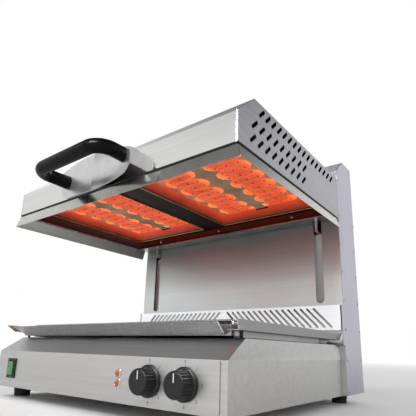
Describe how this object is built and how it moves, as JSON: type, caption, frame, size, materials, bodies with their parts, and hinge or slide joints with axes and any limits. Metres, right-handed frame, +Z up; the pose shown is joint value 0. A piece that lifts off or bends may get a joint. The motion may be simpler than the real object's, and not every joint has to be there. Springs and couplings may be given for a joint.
{
  "type": "salamander grill",
  "caption": "Countertop electric salamander grill: a heated hood with a loop handle rides up and down a rear tower over a drip tray and a base with sloping shoulders.",
  "frame": {"origin": "middle of the footprint on the surface that the feet stand on", "axes": "+X to the right seen from the front, +Y to the back, +Z up"},
  "size_m": [0.594, 0.5885, 0.529],
  "materials": {
    "casing_steel": "brushed",
    "liner_steel": "satin",
    "tray_steel": "brushed",
    "grid_wire": "polished",
    "dark_frame": "matt",
    "bracket_steel": "satin",
    "ground_rod": "polished",
    "strut_paint": "satin",
    "bush_brass": "satin",
    "screw_zinc": "polished",
    "insulation_board": "matt",
    "element_alloy": "hot",
    "ceramic": "matt",
    "handle_plastic": "satin",
    "control_plastic": "matt",
    "rocker_plastic": "gloss",
    "lamp_lens": "gloss",
    "gland_plastic": "matt",
    "foot_rubber": "matt"
  },
  "bodies": {
    "stand": {"base_shell": "casing_steel", "base_floor": "casing_steel", "feet": "foot_rubber", "control_panel": "casing_steel", "side_rail_left": "casing_steel", "side_rail_right": "casing_steel", "tray_runner_left": "casing_steel", "tray_runner_right": "casing_steel", "rail_posts": "casing_steel", "tower_side_left": "casing_steel", "tower_side_right": "casing_steel", "tower_front": "casing_steel", "tower_back": "casing_steel", "tower_cap": "casing_steel", "guide_rod_left": "ground_rod", "guide_rod_right": "ground_rod", "upper_crossbar": "bracket_steel", "lower_crossbar": "bracket_steel", "strut_cylinder_left": "strut_paint", "strut_cylinder_right": "strut_paint", "louvre_band": "casing_steel", "energy_regulators": "control_plastic", "switch_housing": "control_plastic", "pilot_lamps": "lamp_lens", "terminal_block": "control_plastic", "cable_gland": "gland_plastic", "casing_screws": "screw_zinc"},
    "hood": {"hood_cover": "casing_steel", "hood_side_left": "casing_steel", "hood_side_right": "casing_steel", "hood_back": "casing_steel", "hood_skirt": "casing_steel", "hood_liner": "liner_steel", "zone_frame": "dark_frame", "reflector_left": "liner_steel", "reflector_right": "liner_steel", "insulation_board_left": "insulation_board", "insulation_board_right": "insulation_board", "ribbon_elements_left": "element_alloy", "ribbon_elements_right": "element_alloy", "element_staples": "screw_zinc", "element_terminals": "ceramic", "heat_shield": "liner_steel", "handle_grip": "handle_plastic", "handle_bracket": "bracket_steel", "handle_screws": "screw_zinc", "skirt_screws": "screw_zinc", "lift_arm_left": "bracket_steel", "lift_arm_right": "bracket_steel", "carriage_left": "bracket_steel", "carriage_right": "bracket_steel", "slot_shutters": "casing_steel", "guide_bushes": "bush_brass", "strut_rod_left": "ground_rod", "strut_rod_right": "ground_rod"},
    "drip_tray": {"drip_tray": "tray_steel"},
    "wire_grid": {"wire_grid": "grid_wire"},
    "zone_knob_left": {"zone_knob_left": "control_plastic"},
    "zone_knob_right": {"zone_knob_right": "control_plastic"},
    "rocker": {"rocker": "rocker_plastic"}
  },
  "joints": [
    {"name": "hood_lift", "type": "slide", "parent": "stand", "child": "hood", "axis": [0, 0, 1], "range_m": [-0.15, 0.012]},
    {"name": "tray_slide", "type": "slide", "parent": "stand", "child": "drip_tray", "axis": [0, -1, 0], "range_m": [0, 0.3]},
    {"name": "grid_lift", "type": "slide", "parent": "drip_tray", "child": "wire_grid", "axis": [0, 0, 1], "range_m": [0, 0.04]},
    {"name": "left_zone_turn", "type": "hinge", "parent": "stand", "child": "zone_knob_left", "pos_m": [0.15, -0.21825, 0.055], "axis": [0, 1, 0], "range_deg": [0, 270]},
    {"name": "right_zone_turn", "type": "hinge", "parent": "stand", "child": "zone_knob_right", "pos_m": [0.215, -0.21825, 0.055], "axis": [0, 1, 0], "range_deg": [0, 270]},
    {"name": "switch_rock", "type": "hinge", "parent": "stand", "child": "rocker", "pos_m": [-0.225, -0.21725, 0.055], "axis": [1, 0, 0], "range_deg": [-6, 6]}
  ]
}
